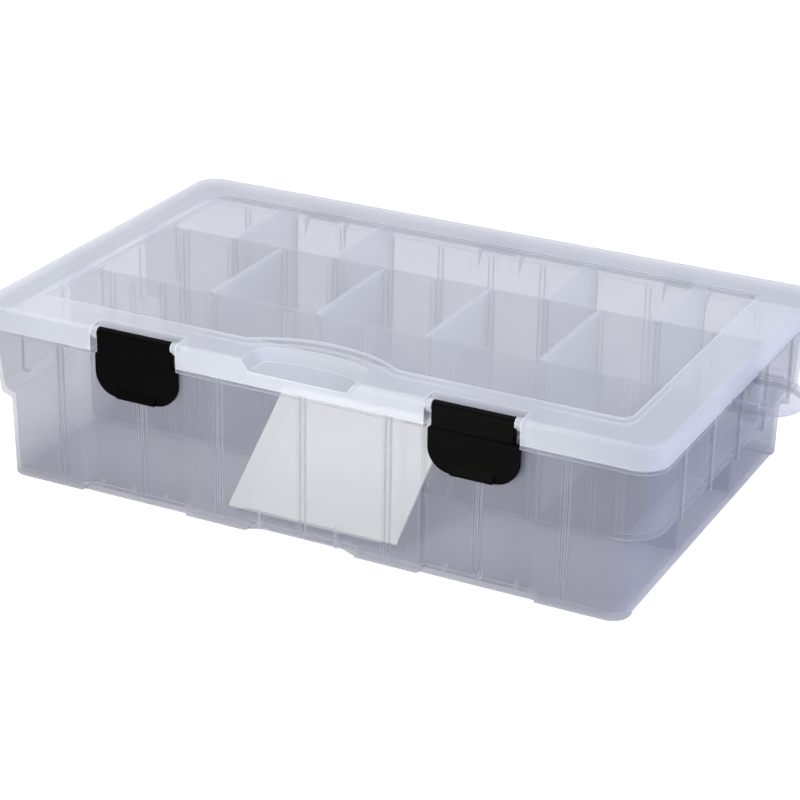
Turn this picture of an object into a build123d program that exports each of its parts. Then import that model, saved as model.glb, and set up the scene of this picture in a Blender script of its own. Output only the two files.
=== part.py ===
from build123d import *
import os
from math import acos, atan2, degrees

# Millimetres, +Z up, front of the box at -Y. Everything is drawn round the lid's middle and then
# moved so that the origin is the middle of the whole footprint, with its hinges and its grip.

# Lid
lid_length = 356.0
lid_width = 220.0
lid_corner_radius = 13.0
lid_top = 89.5
lid_edge_round = 2.4
lid_wall = 1.8
lid_skirt_wall = 2.0
border_width = 24.0
window_recess = 1.2
window_wall = 1.8
window_corner_radius = 6.0
bump_half_length = 40.0
bump_rise = 12.5
scoop_half_length = 30.5
scoop_depth = 24.0
scoop_crown_rise = 4.5
scoop_corner_radius = 11.0
scoop_floor_drop = 5.5
scoop_slope_inset = 5.0
scoop_lip_gap = 3.6

# Tub: each part of it lies inside the lid's outline by an inset
base_end_inset = 13.8
base_side_inset = 2.4
base_corner_radius = 9.0
wall = 2.0
floor_wall = 2.0
foot_height = 1.2
foot_depth = 12.0
foot_inner_start = 29.0
foot_inner_end = 62.0
foot_outer_start = 121.0
step_height = 41.5
shoulder_end_inset = 2.5
shoulder_side_inset = 1.8
shoulder_low_radius = 18.0
shoulder_top_radius = 9.0
side_draft = 0.8
flange_thickness = 2.0
flange_top = 77.3
lid_seam = 0.2
lip_wall = 1.8
lip_clearance = 0.5
lip_top = 85.6
lip_top_under_scoop = 81.4
lip_top_at_latch = 82.4
shoulder_rib_pitch = 37.0
shoulder_rib_count = 5
shoulder_rib_width = 1.8
shoulder_rib_height = 1.7
shoulder_rib_foot = 1.8

# Front wall: a forward panel in the middle and a recessed bay behind each latch
bay_depth = 4.0
bay_step_depth = 1.5
bay_step_lead = 10.3
bay_step_width = 7.0
bay_slant = 2.2
bay_outer_slant = 6.5
bay_margin = 2.2
plinth_height = 2.8
gusset_pitch = 18.0
gusset_offset = 4.5
gusset_width = 1.6
gusset_height = 3.0
gusset_reach = 2.4
toe_half_length = 22.0
toe_slant = 6.0
toe_setback = 3.0
toe_height = 3.4
tick_place = 20.4
tick_height = 11.0
tick_width = 1.4
tick_reach = 1.0

# Rows, slots and dividers
row_wall = 1.6
row_wall_place = 36.0
row_wall_top = 86.0
slot_pitch = 29.7
slots_each_side = 5
front_slot_pitch = 44.5
front_slots_each_side = 3
slot_rib_width = 1.0
slot_rib_height = 2.0
slot_rib_top = 84.0
divider_wall = 1.4
divider_side_clearance = 0.15
divider_end_clearance = 0.3
divider_floor_clearance = 0.2
divider_top = 85.8
divider_bead_height = 2.4
divider_bead_wall = 2.6
divider_foot_chamfer = 3.0
middle_divider_slots = (-3, -1, 1, 3)
rear_divider_slots = (-4, -2, 2, 4)
spare_length = 82.0
spare_width = 69.0
spare_foot_gap = 11.1
spare_shift = 4.5
spare_gap = 0.3

# Grip on the right end
grip_half_width = 19.0
grip_reach = 28.5
grip_plate = 2.0
grip_rim_height = 5.0
grip_rim_wall = 1.8
grip_rib_length = 13.0
grip_rib_width = 1.6
grip_rib_height = 1.2

# Latches
latch_place = 88.5
latch_width = 45.4
latch_body_width = 40.0
latch_gap = 1.05
latch_bottom = 54.3
latch_shoulder = 75.0
latch_corner_radius = 12.0
latch_barrel_radius = 2.6
latch_axis_inset = 3.0
latch_axis_drop = 3.1
latch_body_front = 0.4
latch_body_back = 2.1
latch_plate_front = 2.5
latch_plate_wall = 2.0
latch_hook_height = 3.0
latch_hook_place = 64.0
latch_hook_reach = 0.4
latch_grip_height = 5.0
latch_grip_reach = 1.4
catch_place = 67.0
catch_reach = 0.8
latch_pin_radius = 1.5
ear_gap = 0.5
ear_height = 7.4
ear_cap = 1.0
pin_clearance = 0.05
pin_end_gap = 0.4
notch_depth = 6.4
notch_slope_depth = 4.6
notch_slope_height = 5.4
notch_wall = 1.6
notch_lip_clearance = 0.4

# Lid hinges along the back
hinge_places = (-105.0, 0.0, 105.0)
hinge_axis_offset = 4.6
hinge_axis_drop = 0.3
hinge_pin_radius = 1.75
hinge_barrel_radius = 3.4
hinge_barrel_length = 19.0
hinge_side_gap = 0.4
hinge_ear_wall = 4.0
hinge_ear_radius = 3.6
hinge_web_height = 3.4
hinge_gusset_height = 9.0

# Lengths, heights and places that follow from the sizes above
base_length = lid_length - 2 * base_end_inset
base_width = lid_width - 2 * base_side_inset
shoulder_length = lid_length - 2 * shoulder_end_inset
shoulder_width = lid_width - 2 * shoulder_side_inset
skirt_bottom = flange_top + lid_seam
flange_bottom = flange_top - flange_thickness
lid_front = -lid_width / 2
lid_back = lid_width / 2
wall_front = -shoulder_width / 2
floor_top = foot_height + floor_wall
lid_inner_length = lid_length - 2 * lid_skirt_wall
lid_inner_width = lid_width - 2 * lid_skirt_wall
lip_length = lid_inner_length - 2 * lip_clearance
lip_width = lid_inner_width - 2 * lip_clearance
lip_radius = lid_corner_radius - lid_skirt_wall - lip_clearance
window_length = lid_length - 2 * border_width
window_width = lid_width - 2 * border_width
window_top = lid_top - window_recess
window_bottom = window_top - window_wall
window_front = -window_width / 2
bay_face = wall_front + bay_depth
bay_step_start = latch_place - latch_width / 2 - bay_step_lead
notch_half = latch_width / 2 + latch_gap
notch_face = lid_front + notch_depth
latch_axis_y = lid_front + latch_axis_inset
latch_axis_z = lid_top - latch_axis_drop
hinge_axis_y = lid_back + hinge_axis_offset
hinge_axis_z = flange_top - hinge_axis_drop
middle_x = grip_reach / 2
middle_y = (lid_front + hinge_axis_y + hinge_ear_radius) / 2

# How far joined forms run into each other, and how far cuts run past a face
overlap = 0.6
cut_reach = 6.0


def block(x0, x1, y0, y1, z0, z1):
    box = Box(x1 - x0, y1 - y0, z1 - z0)
    return Pos((x0 + x1) / 2, (y0 + y1) / 2, (z0 + z1) / 2) * box


def rounded_block(length, width, radius, low, high):
    outline = RectangleRounded(length, width, radius)
    return Pos(0, 0, low) * extrude(outline, amount=high - low)


def tapered_block(low_outline, high_outline, low, high):
    lower = Pos(0, 0, low) * RectangleRounded(*low_outline)
    upper = Pos(0, 0, high) * RectangleRounded(*high_outline)
    return loft([lower, upper], ruled=True)


def plan_prism(points, low, high):
    face = make_face(Polyline(*points, close=True))
    return Pos(0, 0, low) * extrude(face, amount=high - low)


def side_prism(points, x0, x1):
    """A profile of (y, z) points, extruded along X."""
    face = make_face(Polyline(*[(0, y, z) for y, z in points], close=True))
    return Pos(x0, 0, 0) * extrude(face, amount=x1 - x0, dir=(1, 0, 0))


def rod(radius, x0, x1, y, z):
    cylinder = Cylinder(radius, x1 - x0, rotation=(0, 90, 0))
    return Pos((x0 + x1) / 2, y, z) * cylinder


def mirrored_pair(shape):
    return shape + mirror(shape, about=Plane.YZ)


# The tub


def tub_blocks(inset, floor):
    """Lower body and shoulder, inset from the outside by a wall."""
    cut = 2 * inset
    radius_cut = inset
    waist = (base_length + 2 * side_draft, base_width + side_draft, base_corner_radius)
    low = (base_length - cut, base_width - cut, base_corner_radius - radius_cut)
    high = (waist[0] - cut, waist[1] - cut, base_corner_radius - radius_cut)
    ledge = step_height + inset
    lower = tapered_block(low, high, floor, ledge)
    shoulder_low = (shoulder_length - cut, waist[1] - cut, shoulder_low_radius - radius_cut)
    shoulder_high = (shoulder_length - cut, shoulder_width - cut, shoulder_top_radius - radius_cut)
    shoulder = tapered_block(shoulder_low, shoulder_high, ledge, flange_top)
    return lower, shoulder


def bay_outline(inset):
    """Plan of one latch bay on the right, pushed inwards by a wall."""
    front = wall_front - cut_reach
    full_start = latch_place - notch_half
    full_end = latch_place + notch_half + bay_margin
    return [
        (bay_step_start - bay_slant - inset, front),
        (bay_step_start - bay_slant - inset, wall_front + inset),
        (bay_step_start - inset, wall_front + bay_step_depth + inset),
        (bay_step_start + bay_step_width - inset, wall_front + bay_step_depth + inset),
        (full_start - inset, bay_face + inset),
        (full_end + inset, bay_face + inset),
        (full_end + bay_outer_slant + inset, wall_front + inset),
        (full_end + bay_outer_slant + inset, front),
    ]


def feet(outline):
    """Low pads along the front and back edges that the box stands on."""
    pads = []
    for start, end in ((foot_inner_start, foot_inner_end), (foot_outer_start, base_length)):
        for edge in (-1, 1):
            inner = edge * (base_width / 2 - foot_depth)
            outer = edge * base_width
            y0, y1 = min(inner, outer), max(inner, outer)
            pads.append(block(start, end, y0, y1, 0, foot_height + overlap))
    return mirrored_pair(outline & (pads[0] + pads[1:]))


def slot_rib_pairs(places, face, inwards, low, high):
    """Pairs of ribs on a wall face that a divider slides between."""
    ribs = []
    half_slot = divider_wall / 2 + divider_side_clearance
    near = face - inwards * overlap
    far = face + inwards * slot_rib_height
    y0, y1 = min(near, far), max(near, far)
    for place in places:
        for side in (-1, 1):
            inner = place + side * half_slot
            outer = inner + side * slot_rib_width
            ribs.append(block(min(inner, outer), max(inner, outer), y0, y1, low, high))
    return ribs


def shoulder_ribs():
    """Upright ribs on the end shoulders, each with a small foot below the step."""
    ribs = []
    inner = shoulder_length / 2 - wall
    outer = shoulder_length / 2 + shoulder_rib_height
    low = step_height - shoulder_rib_foot
    high = flange_bottom + overlap
    half = shoulder_rib_width / 2
    first = -(shoulder_rib_count - 1) / 2
    for index in range(shoulder_rib_count):
        y = (first + index) * shoulder_rib_pitch
        ribs.append(block(inner, outer, y - half, y + half, low, high))
    return ribs


def end_grip():
    """A round tongue at flange height with a rim turned down and two short ribs on top."""
    start = shoulder_length / 2 - wall
    straight_end = lid_length / 2 + grip_reach - grip_half_width
    straight = straight_end - start
    plate_top = flange_bottom + grip_plate - lid_seam
    outline = Rectangle(2 * straight, 2 * grip_half_width)
    outline += Pos(straight, 0) * Circle(grip_half_width)
    plate = Pos(start, 0, flange_bottom) * extrude(outline, amount=plate_top - flange_bottom)
    rim_low = plate_top - grip_rim_height
    rim_face = outline - offset(outline, -grip_rim_wall, kind=Kind.INTERSECTION)
    rim = Pos(start, 0, rim_low) * extrude(rim_face, amount=flange_bottom - rim_low + overlap)
    outside = block(start, lid_length, -lid_width, lid_width, 0, flange_top)
    grip = (plate + rim) & outside
    for side in (-1, 1):
        inner = side * (grip_half_width - grip_rib_width)
        outer = side * grip_half_width
        y0, y1 = min(inner, outer), max(inner, outer)
        rib_start = lid_length / 2 + lid_seam
        rib_end = lid_length / 2 + grip_rib_length
        grip += block(rib_start, rib_end, y0, y1, flange_bottom, plate_top + grip_rib_height)
    return grip


def hinge_ears(place):
    """Two ears on the back flange with the hinge pin moulded between them."""
    ears = []
    start = hinge_barrel_length / 2 + hinge_side_gap
    wall_back = shoulder_width / 2
    for side in (-1, 1):
        inner = place + side * start
        outer = inner + side * hinge_ear_wall
        x0, x1 = min(inner, outer), max(inner, outer)
        profile = [
            (wall_back - overlap, hinge_axis_z - hinge_ear_radius - hinge_gusset_height),
            (wall_back - overlap, flange_top),
            (hinge_axis_y, flange_top),
            (hinge_axis_y, hinge_axis_z - hinge_ear_radius),
        ]
        ears.append(side_prism(profile, x0, x1))
        ears.append(rod(hinge_ear_radius, x0, x1, hinge_axis_y, hinge_axis_z))
    reach = start + overlap
    ears.append(rod(hinge_pin_radius, place - reach, place + reach, hinge_axis_y, hinge_axis_z))
    return ears


def make_tub():
    lower, shoulder = tub_blocks(0, foot_height)
    cavity_low, cavity_high = tub_blocks(wall, floor_top)
    lip_outer = rounded_block(lip_length, lip_width, lip_radius, flange_bottom, row_wall_top)
    lip_inner_size = (lip_length - 2 * lip_wall, lip_width - 2 * lip_wall, lip_radius - lip_wall)
    lip_inner = rounded_block(*lip_inner_size, flange_bottom - wall, row_wall_top + wall)

    flange = rounded_block(lid_length, lid_width, lid_corner_radius, flange_bottom, flange_top)
    tub = lower + shoulder + flange
    tub += rounded_block(lip_length, lip_width, lip_radius, flange_top - overlap, lip_top)
    below_flange = block(-lid_length, lid_length, -lid_width, lid_width, step_height, flange_bottom)
    tub -= cavity_low
    tub -= cavity_high & below_flange
    tub -= lip_inner & lip_outer

    # Latch bays: the wall is thickened on the inside, then recessed on the outside
    bay_fill = plan_prism(bay_outline(wall), foot_height, flange_bottom + overlap)
    bay_cut = plan_prism(bay_outline(0), foot_height + plinth_height, flange_bottom)
    pocket = block(
        latch_place - notch_half, latch_place + notch_half,
        lid_front - wall, bay_face, flange_bottom - wall, lip_top + wall,
    )
    envelope = lower + shoulder + flange
    tub += mirrored_pair(envelope & bay_fill)
    lip_room_half = notch_half + notch_wall + notch_lip_clearance
    lip_room_back = notch_face + notch_wall + notch_lip_clearance
    lip_fill_half = lip_room_half + lip_wall
    lip_fill = block(
        latch_place - lip_fill_half, latch_place + lip_fill_half,
        -lip_width / 2, lip_room_back + lip_wall, flange_bottom, lip_top_at_latch,
    )
    lip_room = block(
        latch_place - lip_room_half, latch_place + lip_room_half,
        lid_front - wall, lip_room_back, flange_top, lid_top,
    )
    tub += mirrored_pair(lip_fill)
    tub -= mirrored_pair(lip_room)
    tub -= mirrored_pair(bay_cut)
    tub -= mirrored_pair(pocket)

    # The lip is lower below the finger scoop
    scoop_room_half = scoop_half_length + scoop_lip_gap
    scoop_room_back = lid_front + scoop_depth + scoop_lip_gap
    tub -= block(
        -scoop_room_half, scoop_room_half, lid_front, scoop_room_back, lip_top_under_scoop, lid_top
    )

    # Catch bead, plinth gussets and the set-back toe in the middle of the front
    bead_half = latch_body_width / 2
    bead = rod(catch_reach, latch_place - bead_half, latch_place + bead_half, bay_face, catch_place)
    tub += mirrored_pair(bead)
    gusset_low = foot_height + plinth_height
    gusset_profile = [
        (bay_face + overlap, gusset_low - overlap),
        (bay_face + overlap, gusset_low + gusset_height),
        (bay_face, gusset_low + gusset_height),
        (bay_face - gusset_reach, gusset_low),
        (bay_face - gusset_reach, gusset_low - overlap),
    ]
    for step in (-1, 0, 1):
        x = latch_place + gusset_offset + step * gusset_pitch
        tub += mirrored_pair(side_prism(gusset_profile, x - gusset_width / 2, x + gusset_width / 2))
    toe_front = -base_width
    toe_back = -base_width / 2 + toe_setback
    toe_end = toe_half_length + toe_slant
    toe = plan_prism(
        [
            (-toe_end, toe_front),
            (-toe_end, -base_width / 2),
            (-toe_half_length, toe_back),
            (toe_half_length, toe_back),
            (toe_end, -base_width / 2),
            (toe_end, toe_front),
        ],
        0, toe_height,
    )
    fill_half = toe_end + wall
    fill_front = wall_front + wall / 2
    tub += block(-fill_half, fill_half, fill_front, toe_back + wall, foot_height, toe_height + wall)
    tub -= toe
    for side in (-1, 1):
        x = side * tick_place
        tub += block(
            x - tick_width / 2, x + tick_width / 2,
            wall_front - tick_reach, wall_front + wall, toe_height, toe_height + tick_height,
        )

    # Feet
    tub += feet(rounded_block(base_length, base_width, base_corner_radius, 0, floor_top))

    # Row walls and slot ribs
    room = lower + shoulder + lip_outer
    for side in (-1, 1):
        y = side * row_wall_place
        row = block(-lid_length, lid_length, y - row_wall / 2, y + row_wall / 2, foot_height, row_wall_top)
        tub += room & row
    places = [index * slot_pitch for index in range(-slots_each_side, slots_each_side + 1)]
    front_indexes = range(-front_slots_each_side, front_slots_each_side + 1)
    front_places = [index * front_slot_pitch for index in front_indexes]
    half_wall = row_wall / 2
    low = floor_top - overlap
    ribs = slot_rib_pairs(places, -row_wall_place + half_wall, 1, low, slot_rib_top)
    ribs += slot_rib_pairs(places, row_wall_place - half_wall, -1, low, slot_rib_top)
    ribs += slot_rib_pairs(places, row_wall_place + half_wall, 1, low, slot_rib_top)
    ribs += slot_rib_pairs(places, base_width / 2 - wall, -1, low, flange_bottom)
    ribs += slot_rib_pairs(front_places, -row_wall_place - half_wall, -1, low, slot_rib_top)
    bay_reach = notch_half + wall
    bay_places = [place for place in front_places if abs(abs(place) - latch_place) <= bay_reach]
    open_front_places = [place for place in front_places if place not in bay_places]
    ribs += slot_rib_pairs(open_front_places, -base_width / 2 + wall, 1, low, flange_bottom)
    ribs += slot_rib_pairs(bay_places, bay_face + wall, 1, low, flange_bottom)
    tub += ribs

    # End shoulders, the grip and the hinge ears
    tub += mirrored_pair(shoulder_ribs()[0] + shoulder_ribs()[1:])
    tub += end_grip()
    for place in hinge_places:
        tub += hinge_ears(place)
    return tub


def catch_panel_room():
    """The space of the flat wall panel behind the right latch, from its plinth to its rim."""
    start = latch_place - notch_half
    end = latch_place + notch_half + bay_margin
    back = notch_face + notch_wall + notch_lip_clearance + lip_wall
    return block(start, end, lid_front, back, foot_height + plinth_height, row_wall_top)


# The lid


def scoop_outline(inset):
    """Plan of the finger scoop, drawn in from its rim, running well past the lid's front."""
    half = scoop_half_length - inset
    front = lid_front - scoop_depth
    crown = lid_front + scoop_depth - inset
    shoulder = crown - scoop_crown_rise
    edge = Polyline((-half, shoulder), (-half, front), (half, front), (half, shoulder))
    edge += ThreePointArc((-half, shoulder), (0, crown), (half, shoulder))
    outline = make_face(edge)
    corners = outline.vertices().filter_by(lambda corner: abs(corner.Y - shoulder) < overlap)
    return fillet(corners, scoop_corner_radius - inset)


def scoop_body(grow, low, high):
    """The scoop as a block that opens out towards the top."""
    angle = degrees(atan2(scoop_slope_inset, high - low))
    floor_outline = scoop_outline(scoop_slope_inset - grow)
    return Pos(0, 0, low) * extrude(floor_outline, amount=high - low, taper=-angle)


def scoop_cup_room():
    """The space of the lid's front edge that holds the finger scoop."""
    half = scoop_half_length + scoop_lip_gap
    back = lid_front + scoop_depth + scoop_lip_gap
    return block(-half, half, lid_front, back, skirt_bottom, lid_top)


def window_outline(grow):
    """Plan of the clear window, with the border's bump round the scoop taken out."""
    length = window_length + 2 * grow
    width = window_width + 2 * grow
    outline = RectangleRounded(length, width, window_corner_radius + grow)
    half = bump_half_length - grow
    rise = bump_rise - grow
    front = window_front - grow
    edge = ThreePointArc((-half, front), (0, front + rise), (half, front))
    edge += Line((half, front), (-half, front))
    return outline - make_face(edge)


def latch_notch_profile(depth_shift):
    """Profile of the lid's latch notch: sloped at the top, upright below."""
    face = notch_face + depth_shift
    front = lid_front - wall
    return [
        (front, skirt_bottom - wall),
        (face, skirt_bottom - wall),
        (face, lid_top - notch_slope_height - depth_shift),
        (face + notch_slope_depth, lid_top + overlap),
        (front, lid_top + overlap),
    ]


def make_lid():
    outer = rounded_block(lid_length, lid_width, lid_corner_radius, skirt_bottom, lid_top)
    outer = fillet(outer.edges().group_by(Axis.Z)[-1], lid_edge_round)
    inner_radius = lid_corner_radius - lid_skirt_wall
    inner_low = skirt_bottom - wall
    inner_high = lid_top - lid_wall
    cavity = rounded_block(lid_inner_length, lid_inner_width, inner_radius, inner_low, inner_high)
    lid = outer - cavity
    lid += Pos(0, 0, window_bottom) * extrude(window_outline(lid_wall), amount=window_wall)
    lid -= Pos(0, 0, window_top) * extrude(window_outline(0), amount=2 * window_recess)

    # Finger scoop
    scoop_floor = lid_top - scoop_floor_drop
    lid += outer & scoop_body(lid_wall, scoop_floor - lid_wall, lid_top)
    lid -= scoop_body(0, scoop_floor, lid_top + overlap)

    # Latch notches with their ears
    wide = notch_half + notch_wall
    fill = side_prism(latch_notch_profile(notch_wall), latch_place - wide, latch_place + wide)
    cut = side_prism(latch_notch_profile(0), latch_place - notch_half, latch_place + notch_half)
    lid += mirrored_pair(outer & fill)
    ears = None
    for side in (-1, 1):
        inner = latch_place + side * (latch_body_width / 2 + ear_gap)
        outer_x = latch_place + side * (notch_half + overlap)
        x0, x1 = min(inner, outer_x), max(inner, outer_x)
        ear_low = latch_axis_z - ear_height / 2
        ear = block(x0, x1, latch_axis_y, notch_face + overlap, ear_low, latch_axis_z + ear_cap)
        ear += rod(latch_barrel_radius, x0, x1, latch_axis_y, latch_axis_z)
        ears = ear if ears is None else ears + ear
    lid -= mirrored_pair(cut)
    lid += mirrored_pair(ears)
    bore_half = notch_half - pin_end_gap / 2
    bore_radius = latch_pin_radius + pin_clearance
    bore = rod(bore_radius, latch_place - bore_half, latch_place + bore_half, latch_axis_y, latch_axis_z)
    lid -= mirrored_pair(bore)

    # Hinge barrels on the back skirt
    half = hinge_barrel_length / 2
    bore_radius = hinge_pin_radius + pin_clearance
    web_top = hinge_axis_z + hinge_web_height
    for place in hinge_places:
        x0, x1 = place - half, place + half
        web = block(x0, x1, lid_back - lid_skirt_wall, hinge_axis_y, skirt_bottom, web_top)
        lid += web + rod(hinge_barrel_radius, x0, x1, hinge_axis_y, hinge_axis_z)
        lid -= rod(bore_radius, x0 - overlap, x1 + overlap, hinge_axis_y, hinge_axis_z)
    return lid


# Latches and dividers


def make_latch(place):
    """A barrel and thick body in the lid's notch, and a wider thin plate over the bay."""
    body_half = latch_body_width / 2
    plate_half = latch_width / 2
    body_front = lid_front + latch_body_front
    body_back = latch_axis_y + latch_body_back
    plate_front = lid_front + latch_plate_front
    plate_back = plate_front + latch_plate_wall
    shoulder_slope = plate_front - body_front
    body = side_prism(
        [
            (body_front, latch_axis_z),
            (body_front, latch_shoulder + shoulder_slope),
            (plate_front, latch_shoulder),
            (plate_back, latch_shoulder),
            (body_back, latch_shoulder + 2 * shoulder_slope),
            (body_back, latch_axis_z),
        ],
        place - body_half, place + body_half,
    )
    body += rod(latch_barrel_radius, place - body_half, place + body_half, latch_axis_y, latch_axis_z)
    centre_z = (latch_bottom + latch_shoulder + overlap) / 2
    height = latch_shoulder + overlap - latch_bottom
    outline = Rectangle(latch_width, height)
    bottom_corners = outline.vertices().group_by(Axis.Y)[0]
    outline = fillet(bottom_corners, latch_corner_radius)
    outline = fillet(outline.vertices().group_by(Axis.Y)[-1], latch_gap)
    upright = Plane(origin=(place, plate_back, centre_z), x_dir=(1, 0, 0), z_dir=(0, -1, 0))
    plate = upright * extrude(outline, amount=latch_plate_wall)
    hook_half = body_half - latch_corner_radius / 2
    hook = side_prism(
        [
            (plate_back - overlap, latch_hook_place + latch_hook_height / 2),
            (plate_back, latch_hook_place + latch_hook_height / 2),
            (plate_back + latch_hook_reach, latch_hook_place),
            (plate_back, latch_hook_place - latch_hook_height / 2),
            (plate_back - overlap, latch_hook_place - latch_hook_height / 2),
        ],
        place - hook_half, place + hook_half,
    )
    lip = side_prism(
        [
            (plate_front + overlap, latch_bottom + latch_grip_height),
            (plate_front, latch_bottom + latch_grip_height),
            (plate_front - latch_grip_reach, latch_bottom + latch_grip_reach),
            (plate_front - latch_grip_reach, latch_bottom),
            (plate_front + overlap, latch_bottom),
        ],
        place - plate_half + latch_corner_radius, place + plate_half - latch_corner_radius,
    )
    pin_half = notch_half - pin_end_gap
    pin = rod(latch_pin_radius, place - pin_half, place + pin_half, latch_axis_y, latch_axis_z)
    return body + plate + hook + lip + pin


def divider_plate(width, height):
    """A plate in the YZ plane, its bottom edge at zero height, centred on Y."""
    half = width / 2
    plate = side_prism(
        [
            (-half, divider_foot_chamfer),
            (-half + divider_foot_chamfer, 0),
            (half - divider_foot_chamfer, 0),
            (half, divider_foot_chamfer),
            (half, height),
            (-half, height),
        ],
        -divider_wall / 2, divider_wall / 2,
    )
    bead_half = half - slot_rib_height - 2 * divider_end_clearance
    bead_low = height - divider_bead_height
    half_bead = divider_bead_wall / 2
    return plate + block(-half_bead, half_bead, -bead_half, bead_half, bead_low, height)


def row_divider(slot, near_wall, far_wall):
    width = far_wall - near_wall - 2 * divider_end_clearance
    low = floor_top + divider_floor_clearance
    return Pos(slot * slot_pitch, (near_wall + far_wall) / 2, low) * divider_plate(width, divider_top - low)


def spare_divider(index):
    """A spare plate left in the front row, leaning back from the floor on the row wall."""
    wall_face = -row_wall_place - row_wall / 2 - slot_rib_height - spare_gap
    foot_y = -base_width / 2 + wall + spare_foot_gap
    run = wall_face - foot_y
    lean = degrees(acos(run / spare_width))
    plate = Box(spare_length, spare_width, divider_wall, align=(Align.CENTER, Align.MIN, Align.MIN))
    lift = index * (divider_wall + spare_gap)
    shift = (2 * index - 1) * spare_shift
    leaning = Rot(lean, 0, 0) * Pos(shift, 0, lift) * plate
    return Pos(0, foot_y, floor_top + spare_gap) * leaning


os.makedirs("parts", exist_ok=True)
moulding = make_tub()
right_room = catch_panel_room()
left_room = mirror(right_room, about=Plane.YZ)
nodes = {"tub": moulding - right_room - left_room}
nodes["catch_panel_left"] = moulding & left_room
nodes["catch_panel_right"] = moulding & right_room
cover = make_lid()
scoop_room = scoop_cup_room()
nodes["lid"] = cover - scoop_room
nodes["scoop_cup"] = cover & scoop_room
nodes["latch_left"] = make_latch(-latch_place)
nodes["latch_right"] = make_latch(latch_place)
for number, slot in enumerate(middle_divider_slots, 1):
    near = -row_wall_place + row_wall / 2
    nodes[f"middle_divider_{number}"] = row_divider(slot, near, -near)
for number, slot in enumerate(rear_divider_slots, 1):
    near = row_wall_place + row_wall / 2
    nodes[f"rear_divider_{number}"] = row_divider(slot, near, base_width / 2 - wall)
for number in (0, 1):
    nodes[f"spare_divider_{number + 1}"] = spare_divider(number)
for name, shape in nodes.items():
    placed = Pos(-middle_x, -middle_y, 0) * shape
    export_step(placed, f"parts/{name}.step")
    print(name, round(placed.volume), len(placed.solids()))
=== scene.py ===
import math
import bmesh
import bpy
from mathutils import Matrix, Vector


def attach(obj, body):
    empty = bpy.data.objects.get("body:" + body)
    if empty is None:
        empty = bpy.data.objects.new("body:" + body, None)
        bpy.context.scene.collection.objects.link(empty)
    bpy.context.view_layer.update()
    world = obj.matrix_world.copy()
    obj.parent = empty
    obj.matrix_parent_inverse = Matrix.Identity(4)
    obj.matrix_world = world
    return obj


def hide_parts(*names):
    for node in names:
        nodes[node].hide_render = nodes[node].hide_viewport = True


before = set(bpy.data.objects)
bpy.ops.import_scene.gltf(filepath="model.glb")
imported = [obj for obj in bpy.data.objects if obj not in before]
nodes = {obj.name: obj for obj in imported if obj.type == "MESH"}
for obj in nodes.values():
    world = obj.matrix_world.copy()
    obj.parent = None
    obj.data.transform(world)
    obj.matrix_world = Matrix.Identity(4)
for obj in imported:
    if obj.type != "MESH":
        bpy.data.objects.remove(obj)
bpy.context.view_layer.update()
scene = bpy.context.scene
lidMiddle = (-0.01425, -0.0041)  # the grip and the hinges put the lid's middle off the origin
print("frame loaded", len(nodes), "nodes")


def hexColor(code):
    # sRGB hex to the linear colour that the shaders expect
    linear = []
    for start in (0, 2, 4):
        value = int(code[start:start + 2], 16) / 255
        linear.append(value / 12.92 if value <= 0.04045 else ((value + 0.055) / 1.055) ** 2.4)
    return (*linear, 1.0)


def addNode(tree, kind, settings=None, links=None, place=(0, 0), **sockets):
    # an input's value is given by its name, as in From_Min, or by its number, as in s7
    node = tree.nodes.new(kind)
    node.location = place
    for name, value in (settings or {}).items():
        setattr(node, name, value)
    for name, value in sockets.items():
        key = int(name[1:]) if name[0] == "s" and name[1:].isdigit() else name.replace("_", " ")
        node.inputs[key].default_value = value
    for key, source in (links or {}).items():
        tree.links.new(source, node.inputs[key])
    return node


def newMaterial(name):
    material = bpy.data.materials.new(name)
    material.use_nodes = True
    material.node_tree.nodes.clear()
    return material, material.node_tree


# in each look below, the palest colour is the painted highlight along the rims
# natural polypropylene, injection moulded, is milky because its crystals scatter light, so each face of
# a wall is partly clear and partly a cool pale body colour. A wall has two faces, each with half its haze
# painted shade: the tub's body colours are set darker than the lid's, though it is the same plastic, for the
# shade on its walls
tubLook = {
    "body": "9d9fad", "dark": "8f91a1", "edge": "c6c8d4", "clear": 0.71, "rough": 0.30, "grain": 0.05,
    "cloudMm": 45.45,
}
# painted light: the lid's body colours are set lighter than the tub's for the light that falls on its top
lidLook = {
    "body": "d3d6de", "dark": "c5c8d3", "edge": "f5f7fc", "clear": 0.56, "rough": 0.34, "grain": 0.06,
    "cloudMm": 55.56, "windowClear": 0.70, "windowHalf": (0.1537, 0.0857),
}
# the divider plates are of the same plastic, thinner and with a smoother skin; their body colours are set
# lighter than the lid's as painted light
plateLook = {
    "body": "eceef5", "dark": "dfe1ea", "edge": "f5f7fc", "clear": 0.56, "rough": 0.28, "grain": 0.04,
    "cloudMm": 33.33,
}
# the spare plates look white and nearly solid
spareLook = {
    "body": "fbfbf6", "dark": "f4f4ee", "edge": "fbfbf8", "clear": 0.08, "rough": 0.32, "grain": 0.04,
    "cloudMm": 33.33,
}
# acetal, injection moulded in black: it lets no light in and has hardly any shine
latchLook = {
    "body": "020202", "dark": "010101", "rough": 0.50, "specular": 0.03, "grain": 0.03, "cloudMm": 16.67,
}
# what every moulding shares. The mould's fine spark-eroded skin is drawn at 0.4 mm, coarser than it is,
# to catch the light, and flow in the mould leaves faint clouds with a rougher skin where they are dark
mouldLook = {
    "ior": 1.49, "specular": 0.5, "grainMm": 0.4, "grainDepth": 0.0002, "grainDetail": 2.0,
    "cloudDetail": 3.0, "cloudBreakUp": 0.55, "smoother": 0.05, "rougher": 0.07,
}
# painted highlight: the rims of each wall are painted paler and less clear, standing in for the light that
# runs inside a milky wall and shows along its rims as pale lines
edgeLook = {"width": 0.0007, "clear": 0.30, "turned": 0.80, "flat": 0.98, "samples": 4}


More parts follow.
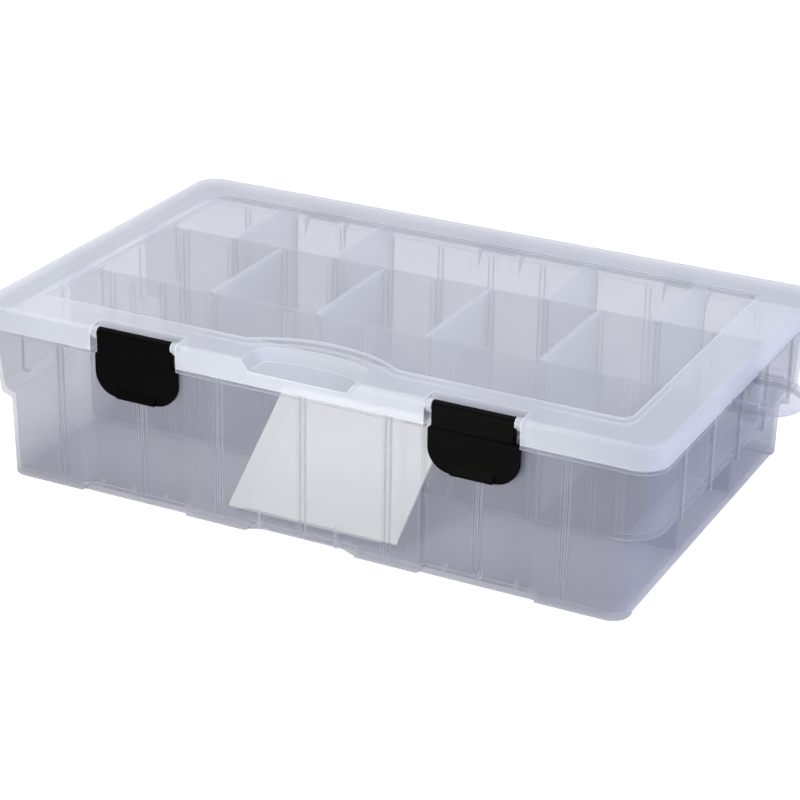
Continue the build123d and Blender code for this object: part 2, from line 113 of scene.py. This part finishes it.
def edgeMask(tree):
    # where the painted highlight goes: 1 where faces meet at a sharp angle, 0 on a flat face, from how far
    # the normal turns within the given width
    turned = addNode(tree, "ShaderNodeBevel", {"samples": edgeLook["samples"]}, place=(-900, 900),
                     Radius=edgeLook["width"])
    face = addNode(tree, "ShaderNodeNewGeometry", place=(-900, 700))
    match = addNode(tree, "ShaderNodeVectorMath", {"operation": "DOT_PRODUCT"},
                    {0: turned.outputs["Normal"], 1: face.outputs["Normal"]}, (-700, 800))
    away = addNode(tree, "ShaderNodeMath", {"operation": "ABSOLUTE"}, {0: match.outputs["Value"]},
                   (-520, 800))
    mask = addNode(tree, "ShaderNodeMapRange", links={"Value": away.outputs[0]}, place=(-340, 800),
                   From_Min=edgeLook["turned"], From_Max=edgeLook["flat"], To_Min=1.0, To_Max=0.0)
    return mask.outputs["Result"]


def windowMask(tree, coords, look):
    # 1 over the lid's clear window, 0 over its border
    split = addNode(tree, "ShaderNodeSeparateXYZ", links={"Vector": coords.outputs["Object"]},
                    place=(-900, 1400))
    shares = []
    for axis, half, middle in zip("XY", look["windowHalf"], lidMiddle):
        shifted = addNode(tree, "ShaderNodeMath", {"operation": "SUBTRACT"}, {0: split.outputs[axis]},
                          (-700, 1400), s1=middle)
        reach = addNode(tree, "ShaderNodeMath", {"operation": "ABSOLUTE"}, {0: shifted.outputs[0]},
                        (-520, 1400))
        share = addNode(tree, "ShaderNodeMath", {"operation": "DIVIDE"}, {0: reach.outputs[0]},
                        (-340, 1400), s1=half)
        shares.append(share.outputs[0])
    outer = addNode(tree, "ShaderNodeMath", {"operation": "MAXIMUM"}, {0: shares[0], 1: shares[1]},
                    (-160, 1400))
    inside = addNode(tree, "ShaderNodeMath", {"operation": "LESS_THAN"}, {0: outer.outputs[0]},
                     (20, 1400), s1=1.0)
    return inside.outputs[0]


def solidShare(tree, coords, highlightMask, look):
    # how much of a face is body colour, where the rest is clear. The window has less, and along the rims,
    # under the painted highlight, all faces take the same share
    solid = 1 - look["clear"]
    share = addNode(tree, "ShaderNodeMix", {"data_type": "FLOAT"}, place=(-100, 600), s2=solid, s3=solid)
    if "windowClear" in look:
        share.inputs[3].default_value = 1 - look["windowClear"]
        tree.links.new(windowMask(tree, coords, look), share.inputs["Factor"])
    withHighlight = addNode(tree, "ShaderNodeMix", {"data_type": "FLOAT"}, {"Factor": highlightMask, 2: share.outputs[0]},
                     (150, 600), s3=1 - edgeLook["clear"])
    return withHighlight.outputs[0]


def mouldedPlastic(name, look):
    material, tree = newMaterial(name)
    output = addNode(tree, "ShaderNodeOutputMaterial", place=(900, 0))
    coords = addNode(tree, "ShaderNodeTexCoord", place=(-1100, 0))
    cloud = addNode(tree, "ShaderNodeTexNoise", links={"Vector": coords.outputs["Object"]},
                    place=(-650, 200), Scale=1000 / look["cloudMm"], Detail=mouldLook["cloudDetail"],
                    Roughness=mouldLook["cloudBreakUp"])
    body = addNode(tree, "ShaderNodeMix", {"data_type": "RGBA"}, {"Factor": cloud.outputs["Fac"]},
                   (-350, 200), s6=hexColor(look["body"]), s7=hexColor(look["dark"]))
    skin = addNode(tree, "ShaderNodeTexNoise", links={"Vector": coords.outputs["Object"]},
                   place=(-650, -300), Scale=1000 / mouldLook["grainMm"], Detail=mouldLook["grainDetail"])
    bump = addNode(tree, "ShaderNodeBump", links={"Height": skin.outputs["Fac"]}, place=(-350, -300),
                   Strength=look["grain"], Distance=mouldLook["grainDepth"])
    scuff = addNode(tree, "ShaderNodeMapRange", links={"Value": cloud.outputs["Fac"]}, place=(-350, -60),
                    To_Min=look["rough"] - mouldLook["smoother"], To_Max=look["rough"] + mouldLook["rougher"])
    shader = addNode(tree, "ShaderNodeBsdfPrincipled", place=(500, 100), IOR=mouldLook["ior"],
                     Specular_IOR_Level=look.get("specular", mouldLook["specular"]))
    color = body.outputs[2]
    if "clear" in look:
        # painted highlight: the colour turns paler and the plastic less clear along the rims
        highlightMask = edgeMask(tree)
        withHighlight = addNode(tree, "ShaderNodeMix", {"data_type": "RGBA"}, {"Factor": highlightMask, 6: color},
                         (-100, 300), s7=hexColor(look["edge"]))
        color = withHighlight.outputs[2]
        tree.links.new(solidShare(tree, coords, highlightMask, look), shader.inputs["Alpha"])
    tree.links.new(color, shader.inputs["Base Color"])
    tree.links.new(scuff.outputs["Result"], shader.inputs["Roughness"])
    tree.links.new(bump.outputs["Normal"], shader.inputs["Normal"])
    tree.links.new(shader.outputs["BSDF"], output.inputs["Surface"])
    return material


def paint(nodeNames, material):
    # comes before the whole mouldings, which copy the CAD nodes with their material
    for name in nodeNames:
        data = nodes[name].data
        data.materials.clear()
        data.materials.append(material)


tubNodes = ["tub", "catch_panel_left", "catch_panel_right"]
lidNodes = ["lid", "scoop_cup"]
plateNodes = [name for name in nodes if name.startswith(("middle_divider", "rear_divider"))]
spareNodes = [name for name in nodes if name.startswith("spare_divider")]
latchNodes = [name for name in nodes if name.startswith("latch")]
paint(tubNodes, mouldedPlastic("naturalPolypropyleneTub", tubLook))
paint(lidNodes, mouldedPlastic("naturalPolypropyleneLid", lidLook))
paint(plateNodes, mouldedPlastic("polypropylenePlate", plateLook))
paint(spareNodes, mouldedPlastic("polypropyleneSparePlate", spareLook))
paint(latchNodes, mouldedPlastic("blackAcetalLatch", latchLook))
print("materials set")

sameCorner = 0.000002  # corners of the CAD's triangles within 2 microns are one


def mergedCopy(name, source):
    mesh = nodes[source].data.copy()
    work = bmesh.new()
    work.from_mesh(mesh)
    bmesh.ops.remove_doubles(work, verts=work.verts, dist=sameCorner)
    work.to_mesh(mesh)
    work.free()
    piece = bpy.data.objects.new(name, mesh)
    scene.collection.objects.link(piece)
    return piece


def wholeMoulding(name, sources, body):
    # the CAD splits each moulding for its collision, and here its parts are one skin again
    piece = mergedCopy(name, sources[0])
    for source in sources[1:]:
        part = mergedCopy(name + "Part", source)
        join = piece.modifiers.new("join", "BOOLEAN")
        join.operation = "UNION"
        join.solver = "EXACT"
        join.object = part
        ready = piece.evaluated_get(bpy.context.evaluated_depsgraph_get())
        joined = bpy.data.meshes.new_from_object(ready)
        piece.modifiers.clear()
        piece.data = joined
        bpy.data.objects.remove(part)
    piece.data.name = name
    print(name, len(piece.data.polygons), "faces")
    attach(piece, body)
    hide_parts(*sources)


wholeMoulding("tubMoulding", tubNodes, "tub")
wholeMoulding("lidMoulding", lidNodes, "lid")

# studio: pale floor, white backdrop, soft lamps
studio = {
    "floorHalf": 3.0,
    "floorDrop": 0.0003,  # a hair under the feet, whose undersides would flicker in the same plane
    "floorColor": "f4f4f6", "fleckColor": "fafafa", "fleckMm": 333.3, "floorGlow": 0.52,
    "ambient": 0.50, "ambientColor": "eceef9", "white": 1.0, "whiteColor": "ffffff",
    "lampAim": (0, 0, 0.04),
    "key": {"place": (-0.20, -0.12, 0.80), "size": 0.5, "power": 5.0, "color": "fffffa"},
    "front": {"place": (-0.03, -0.38, 0.08), "size": 0.16, "power": 0.64, "color": "fffff4"},
    "side": {"place": (1.0, -0.15, 0.40), "size": 0.6, "power": 9.0, "color": "e2e4f7"},
}


def pastTheBox(tree, path):
    # the white is for what is seen past the box. Through its plastic the studio shows at its own light
    bare = addNode(tree, "ShaderNodeMath", {"operation": "LESS_THAN"},
                   {0: path.outputs["Transparent Depth"]}, (-560, 200), s1=0.5)
    white = addNode(tree, "ShaderNodeMath", {"operation": "MULTIPLY"},
                    {0: bare.outputs[0], 1: path.outputs["Is Camera Ray"]}, (-380, 200))
    return white.outputs[0]


def buildWorld():
    world = bpy.data.worlds.new("whiteBackdrop")
    scene.world = world
    world.use_nodes = True
    tree = world.node_tree
    tree.nodes.clear()
    path = addNode(tree, "ShaderNodeLightPath", place=(-600, 0))
    first = addNode(tree, "ShaderNodeMath", {"operation": "MAXIMUM"},
                    {0: pastTheBox(tree, path), 1: path.outputs["Is Glossy Ray"]}, (-400, 0))
    seen = addNode(tree, "ShaderNodeMath", {"operation": "MAXIMUM"},
                   {0: first.outputs[0], 1: path.outputs["Is Transmission Ray"]}, (-200, 0))
    soft = addNode(tree, "ShaderNodeBackground", place=(0, -120), Strength=studio["ambient"],
                   Color=hexColor(studio["ambientColor"]))
    white = addNode(tree, "ShaderNodeBackground", place=(0, 80), Strength=studio["white"],
                    Color=hexColor(studio["whiteColor"]))
    mixed = addNode(tree, "ShaderNodeMixShader", place=(200, 0),
                    links={0: seen.outputs[0], 1: soft.outputs[0], 2: white.outputs[0]})
    addNode(tree, "ShaderNodeOutputWorld", links={"Surface": mixed.outputs[0]}, place=(400, 0))


def buildFloor():
    bpy.ops.mesh.primitive_plane_add(size=2 * studio["floorHalf"], location=(0, 0, -studio["floorDrop"]))
    floor = bpy.context.object
    floor.name = "floor"
    material, tree = newMaterial("palePaperFloor")
    output = addNode(tree, "ShaderNodeOutputMaterial", place=(600, 0))
    coords = addNode(tree, "ShaderNodeTexCoord", place=(-600, 0))
    fleck = addNode(tree, "ShaderNodeTexNoise", links={"Vector": coords.outputs["Object"]},
                    place=(-400, 0), Scale=1000 / studio["fleckMm"])
    tone = addNode(tree, "ShaderNodeMix", {"data_type": "RGBA"}, {"Factor": fleck.outputs["Fac"]},
                   (-150, 0), s6=hexColor(studio["floorColor"]), s7=hexColor(studio["fleckColor"]))
    paper = addNode(tree, "ShaderNodeBsdfDiffuse", links={"Color": tone.outputs[2]}, place=(100, 60))
    path = addNode(tree, "ShaderNodeLightPath", place=(-150, 300))
    glow = addNode(tree, "ShaderNodeMath", {"operation": "MULTIPLY"}, {0: pastTheBox(tree, path)},
                   (50, 300), s1=studio["floorGlow"])
    shine = addNode(tree, "ShaderNodeEmission", links={"Strength": glow.outputs[0]}, place=(250, 300))
    both = addNode(tree, "ShaderNodeAddShader", links={0: paper.outputs[0], 1: shine.outputs[0]},
                   place=(400, 0))
    tree.links.new(both.outputs[0], output.inputs["Surface"])
    floor.data.materials.append(material)


def buildLamp(name, settings):
    light = bpy.data.lights.new(name, "AREA")
    light.shape = "DISK"
    light.size = settings["size"]
    light.energy = settings["power"]
    light.color = hexColor(settings["color"])[:3]
    lamp = bpy.data.objects.new(name, light)
    scene.collection.objects.link(lamp)
    lamp.visible_camera = False
    place = Vector(settings["place"])
    lamp.location = place
    lamp.rotation_euler = (Vector(studio["lampAim"]) - place).to_track_quat("-Z", "Y").to_euler()


# the camera stands to the right of the front and looks down on the lid, found from the box's straight edges
camera = {
    "azimuth": -26.408, "elevation": 23.625, "roll": 1.025, "distance": 1.2705, "sideways": -0.00338,
    "upwards": 0.0344, "aimAt": (*lidMiddle, 0), "sensor": 36.0, "lens": 112.78, "shiftX": 0.0069,
    "shiftY": -0.0112,
}


def buildCamera():
    azimuth = math.radians(camera["azimuth"])
    elevation = math.radians(camera["elevation"])
    roll = math.radians(camera["roll"])
    ahead = Vector((math.sin(azimuth) * math.cos(elevation), math.cos(azimuth) * math.cos(elevation),
                    -math.sin(elevation)))
    level = ahead.cross(Vector((0, 0, 1))).normalized()
    upright = level.cross(ahead)
    right = math.cos(roll) * level + math.sin(roll) * upright
    up = -math.sin(roll) * level + math.cos(roll) * upright
    aim = Vector(camera["aimAt"])
    place = aim - ahead * camera["distance"] + right * camera["sideways"] + up * camera["upwards"]
    data = bpy.data.cameras.new("camera")
    data.sensor_width = camera["sensor"]
    data.lens = camera["lens"]
    data.shift_x = camera["shiftX"]
    data.shift_y = camera["shiftY"]
    holder = bpy.data.objects.new("camera", data)
    scene.collection.objects.link(holder)
    turn = Matrix((right, up, -ahead)).transposed().to_4x4()
    holder.matrix_world = Matrix.Translation(place) @ turn
    scene.camera = holder


buildWorld()
buildFloor()
for lampName in ("key", "front", "side"):
    buildLamp(lampName, studio[lampName])
buildCamera()
scene.view_settings.view_transform = "Standard"
print("studio built")
